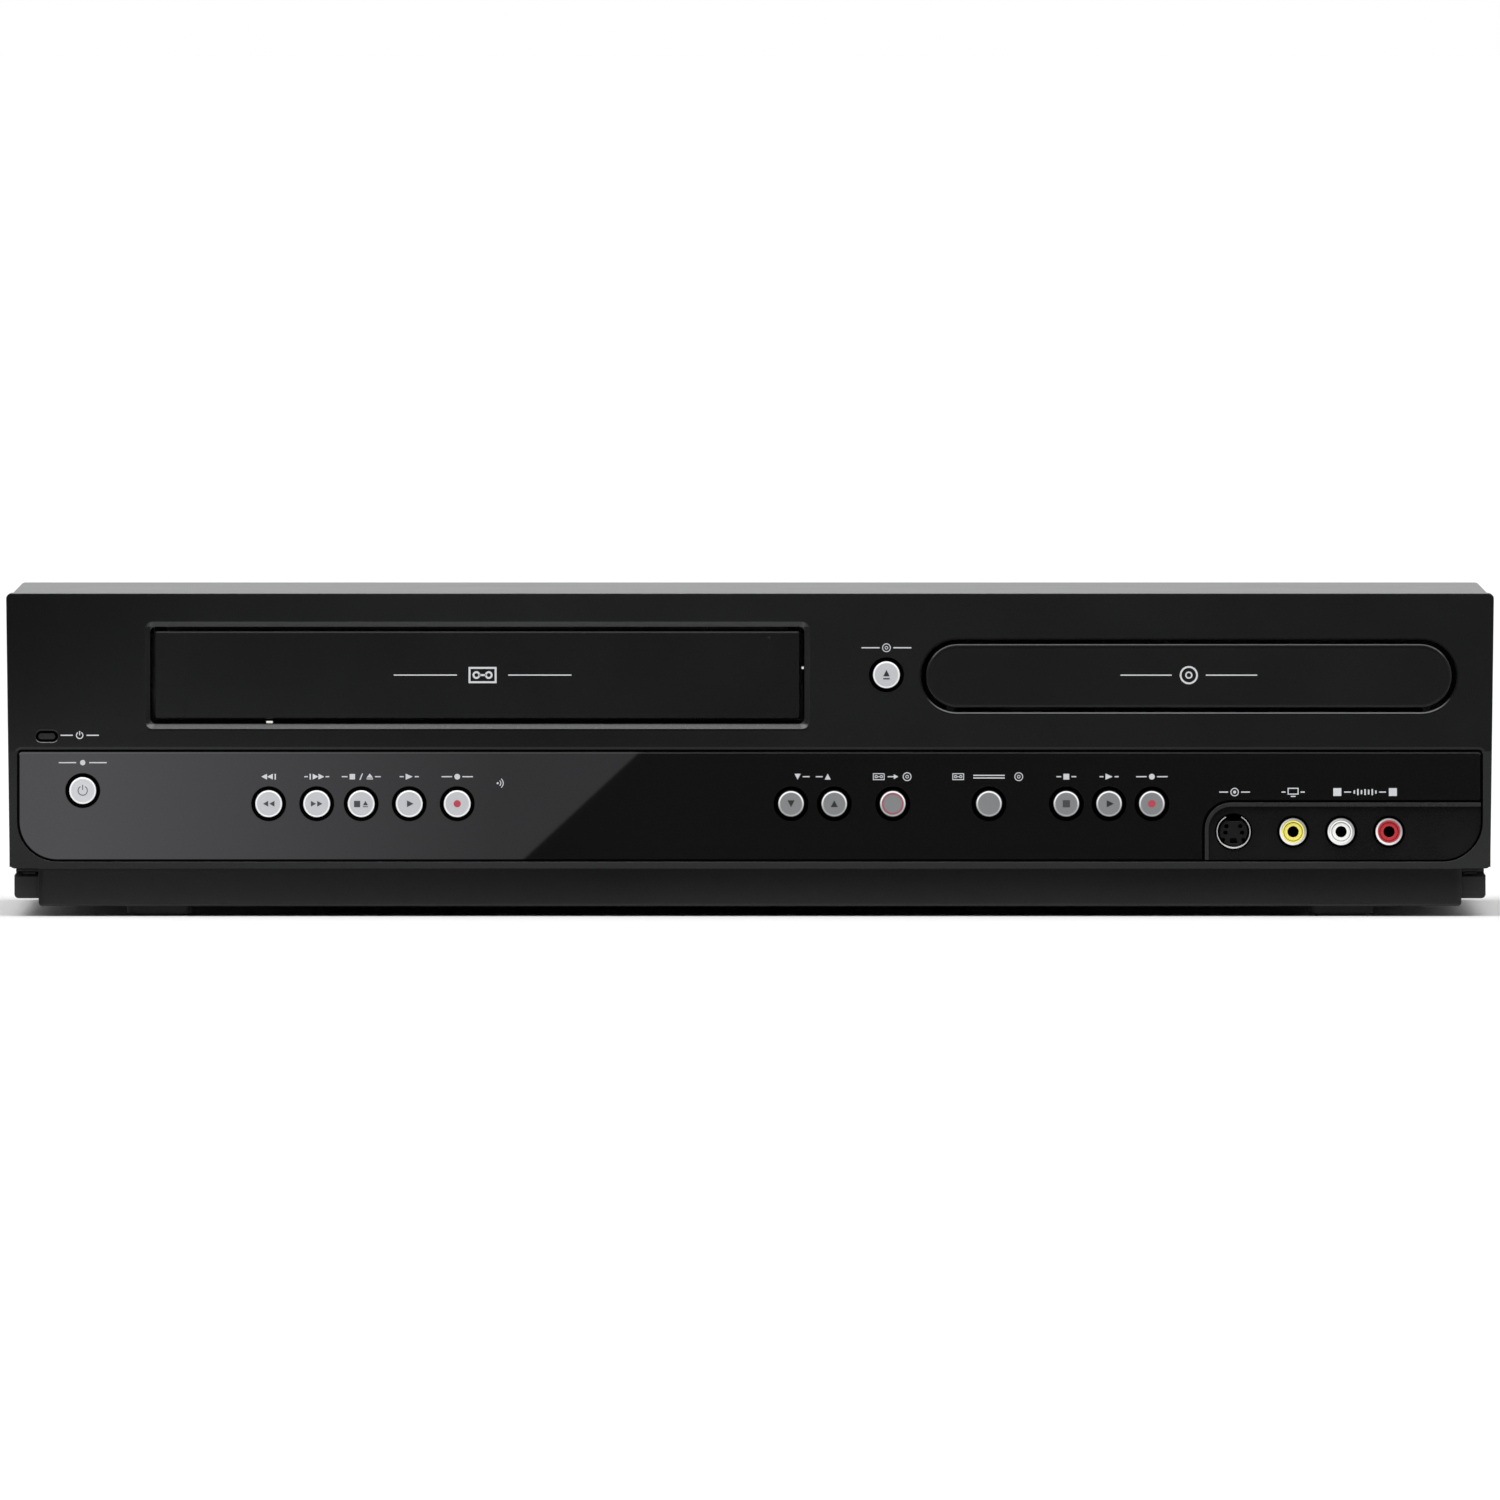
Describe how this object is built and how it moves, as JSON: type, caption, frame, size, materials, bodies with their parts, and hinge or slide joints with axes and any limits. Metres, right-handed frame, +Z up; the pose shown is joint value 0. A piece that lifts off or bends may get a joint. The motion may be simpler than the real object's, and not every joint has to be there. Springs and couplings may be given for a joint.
{
  "type": "disc and cassette recorder",
  "caption": "Wide black cabinet with a disc drawer, a front-loading tape cassette slot, round push buttons and front sockets, on four feet.",
  "frame": {"origin": "centre of the cabinet on the plane its feet stand on", "axes": "+X to the right seen from the front, +Y from the front face to the rear, +Z up"},
  "size_m": [0.435, 0.33, 0.0944],
  "materials": {
    "front_plastic": "fine satin grain, black",
    "gloss_panel": "high gloss black acrylic",
    "bay_plastic": "satin black",
    "door_plastic": "smooth satin black",
    "smoke_lens": "smoked translucent plastic",
    "cover_steel": "black painted sheet steel, fine texture",
    "chassis_plastic": "moulded black",
    "foot_plastic": "moulded black",
    "tray_plastic": "satin black",
    "grey_plastic": "moulded dark grey",
    "white_plastic": "acetal, off-white",
    "black_plastic": "moulded black",
    "button_silver": "silver lacquer",
    "button_grey": "grey silver lacquer",
    "pad_rubber": "matt",
    "roller_rubber": "ground",
    "zinc_steel": "zinc plated sheet",
    "spring_steel": "bright",
    "black_screw": "black oxide",
    "socket_metal": "nickel plated",
    "drum_alloy": "turned",
    "copper_wire": "enamelled windings",
    "display_glass": "dark display window",
    "board_green": "solder resist",
    "board_brown": "paper laminate",
    "insulator_yellow": "moulded",
    "insulator_white": "moulded",
    "insulator_red": "moulded"
  },
  "bodies": {
    "cabinet": {"front_bezel": "front_plastic", "control_panel": "gloss_panel", "jack_bay": "bay_plastic", "power_lens": "smoke_lens", "top_cover": "cover_steel", "bottom_chassis": "chassis_plastic", "rear_panel": "zinc_steel", "front_feet": "foot_plastic", "rear_feet": "foot_plastic", "foot_pads": "pad_rubber", "door_spring": "spring_steel", "display_module": "display_glass", "ir_receiver": "smoke_lens", "front_boards": "board_green", "tact_switches": "black_plastic", "svideo_shell": "socket_metal", "svideo_insert": "black_plastic", "phono_shells": "socket_metal", "phono_insert_yellow": "insulator_yellow", "phono_insert_white": "insulator_white", "phono_insert_red": "insulator_red", "deck_chassis": "zinc_steel", "drum_base": "drum_alloy", "deck_motor": "copper_wire", "loader_frame": "grey_plastic", "traverse_unit": "zinc_steel", "clamp_bridge": "zinc_steel", "main_board": "board_green", "power_board": "board_brown", "transformer": "copper_wire", "rear_sockets": "black_plastic", "mains_gland": "black_plastic", "cover_screws": "black_screw"},
    "cassette_door": {"cassette_door": "door_plastic"},
    "disc_tray": {"disc_tray": "tray_plastic", "tray_front": "door_plastic"},
    "tray_gear": {"tray_gear": "black_plastic"},
    "cassette_holder": {"cassette_holder": "zinc_steel"},
    "head_drum": {"head_drum": "drum_alloy"},
    "capstan": {"capstan_flywheel": "spring_steel"},
    "pinch_arm": {"pinch_roller": "roller_rubber"},
    "supply_reel": {"supply_reel": "white_plastic"},
    "takeup_reel": {"takeup_reel": "white_plastic"},
    "spindle": {"spindle_turntable": "spring_steel"},
    "clamp_puck": {"clamp_puck": "black_plastic"},
    "pickup": {"optical_pickup": "grey_plastic"},
    "standby_button": {"standby_button": "button_silver"},
    "tape_rewind_button": {"tape_rewind_button": "button_silver"},
    "tape_forward_button": {"tape_forward_button": "button_silver"},
    "tape_stop_button": {"tape_stop_button": "button_silver"},
    "tape_play_button": {"tape_play_button": "button_silver"},
    "tape_record_button": {"tape_record_button": "button_silver"},
    "tracking_down_button": {"tracking_down_button": "button_grey"},
    "tracking_up_button": {"tracking_up_button": "button_grey"},
    "dubbing_button": {"dubbing_button": "button_grey"},
    "source_button": {"source_button": "button_grey"},
    "disc_stop_button": {"disc_stop_button": "button_grey"},
    "disc_play_button": {"disc_play_button": "button_grey"},
    "disc_record_button": {"disc_record_button": "button_grey"},
    "drawer_button": {"drawer_button": "button_silver"}
  },
  "joints": [
    {"name": "cassette_door_hinge", "type": "hinge", "parent": "cabinet", "child": "cassette_door", "pos_m": [-0.07975, -0.1588, 0.08606], "axis": [1, 0, 0], "range_deg": [0, 90], "stiffness_Nm_per_rad": 0.002, "springref_deg": -17.19},
    {"name": "disc_tray_slide", "type": "slide", "parent": "cabinet", "child": "disc_tray", "axis": [0, -1, 0], "range_m": [0, 0.138]},
    {"name": "tray_gear_spin", "type": "hinge", "parent": "cabinet", "child": "tray_gear", "pos_m": [0.0813, -0.1487, 0.06635], "axis": [0, 0, -1], "range_deg": [-5, 1135.5]},
    {"name": "cassette_holder_lift", "type": "slide", "parent": "cabinet", "child": "cassette_holder", "axis": [0, 0, -1], "range_m": [0, 0.024]},
    {"name": "head_drum_spin", "type": "hinge", "parent": "cabinet", "child": "head_drum", "pos_m": [-0.07975, 0.02042, 0.0352], "axis": [0, 0.0872, 0.9962], "continuous": true},
    {"name": "capstan_spin", "type": "hinge", "parent": "cabinet", "child": "capstan", "pos_m": [-0.02175, -0.00958, 0.0272], "axis": [0, 0, 1], "continuous": true},
    {"name": "pinch_arm_swing", "type": "hinge", "parent": "cabinet", "child": "pinch_arm", "pos_m": [0.00025, 0.00042, 0.0272], "axis": [0, 0, 1], "range_deg": [0, 12], "stiffness_Nm_per_rad": 0.005, "springref_deg": -2.86},
    {"name": "supply_reel_spin", "type": "hinge", "parent": "cabinet", "child": "supply_reel", "pos_m": [-0.12625, -0.07858, 0.0272], "axis": [0, 0, 1], "continuous": true},
    {"name": "takeup_reel_spin", "type": "hinge", "parent": "cabinet", "child": "takeup_reel", "pos_m": [-0.03325, -0.07858, 0.0272], "axis": [0, 0, 1], "continuous": true},
    {"name": "spindle_spin", "type": "hinge", "parent": "cabinet", "child": "spindle", "pos_m": [0.1283, -0.0907, 0.06635], "axis": [0, 0, 1], "continuous": true},
    {"name": "clamp_puck_spin", "type": "hinge", "parent": "cabinet", "child": "clamp_puck", "pos_m": [0.1283, -0.0907, 0.07135], "axis": [0, 0, 1], "continuous": true},
    {"name": "pickup_slide", "type": "slide", "parent": "cabinet", "child": "pickup", "axis": [0, 1, 0], "range_m": [0, 0.032]},
    {"name": "standby_button_press", "type": "slide", "parent": "cabinet", "child": "standby_button", "axis": [0, 1, 0], "range_m": [0, 0.0008], "stiffness_N_per_m": 600, "springref_m": -0.0004},
    {"name": "tape_rewind_button_press", "type": "slide", "parent": "cabinet", "child": "tape_rewind_button", "axis": [0, 1, 0], "range_m": [0, 0.0008], "stiffness_N_per_m": 600, "springref_m": -0.0004},
    {"name": "tape_forward_button_press", "type": "slide", "parent": "cabinet", "child": "tape_forward_button", "axis": [0, 1, 0], "range_m": [0, 0.0008], "stiffness_N_per_m": 600, "springref_m": -0.0004},
    {"name": "tape_stop_button_press", "type": "slide", "parent": "cabinet", "child": "tape_stop_button", "axis": [0, 1, 0], "range_m": [0, 0.0008], "stiffness_N_per_m": 600, "springref_m": -0.0004},
    {"name": "tape_play_button_press", "type": "slide", "parent": "cabinet", "child": "tape_play_button", "axis": [0, 1, 0], "range_m": [0, 0.0008], "stiffness_N_per_m": 600, "springref_m": -0.0004},
    {"name": "tape_record_button_press", "type": "slide", "parent": "cabinet", "child": "tape_record_button", "axis": [0, 1, 0], "range_m": [0, 0.0008], "stiffness_N_per_m": 600, "springref_m": -0.0004},
    {"name": "tracking_down_button_press", "type": "slide", "parent": "cabinet", "child": "tracking_down_button", "axis": [0, 1, 0], "range_m": [0, 0.0008], "stiffness_N_per_m": 600, "springref_m": -0.0004},
    {"name": "tracking_up_button_press", "type": "slide", "parent": "cabinet", "child": "tracking_up_button", "axis": [0, 1, 0], "range_m": [0, 0.0008], "stiffness_N_per_m": 600, "springref_m": -0.0004},
    {"name": "dubbing_button_press", "type": "slide", "parent": "cabinet", "child": "dubbing_button", "axis": [0, 1, 0], "range_m": [0, 0.0008], "stiffness_N_per_m": 600, "springref_m": -0.0004},
    {"name": "source_button_press", "type": "slide", "parent": "cabinet", "child": "source_button", "axis": [0, 1, 0], "range_m": [0, 0.0008], "stiffness_N_per_m": 600, "springref_m": -0.0004},
    {"name": "disc_stop_button_press", "type": "slide", "parent": "cabinet", "child": "disc_stop_button", "axis": [0, 1, 0], "range_m": [0, 0.0008], "stiffness_N_per_m": 600, "springref_m": -0.0004},
    {"name": "disc_play_button_press", "type": "slide", "parent": "cabinet", "child": "disc_play_button", "axis": [0, 1, 0], "range_m": [0, 0.0008], "stiffness_N_per_m": 600, "springref_m": -0.0004},
    {"name": "disc_record_button_press", "type": "slide", "parent": "cabinet", "child": "disc_record_button", "axis": [0, 1, 0], "range_m": [0, 0.0008], "stiffness_N_per_m": 600, "springref_m": -0.0004},
    {"name": "drawer_button_press", "type": "slide", "parent": "cabinet", "child": "drawer_button", "axis": [0, 1, 0], "range_m": [0, 0.0008], "stiffness_N_per_m": 600, "springref_m": -0.0004}
  ],
  "couplings": [
    {"joint": "tray_gear_spin", "follows": "disc_tray_slide", "rad_per_m": 142.86},
    {"joint": "clamp_puck_spin", "follows": "spindle_spin", "ratio": 1}
  ]
}
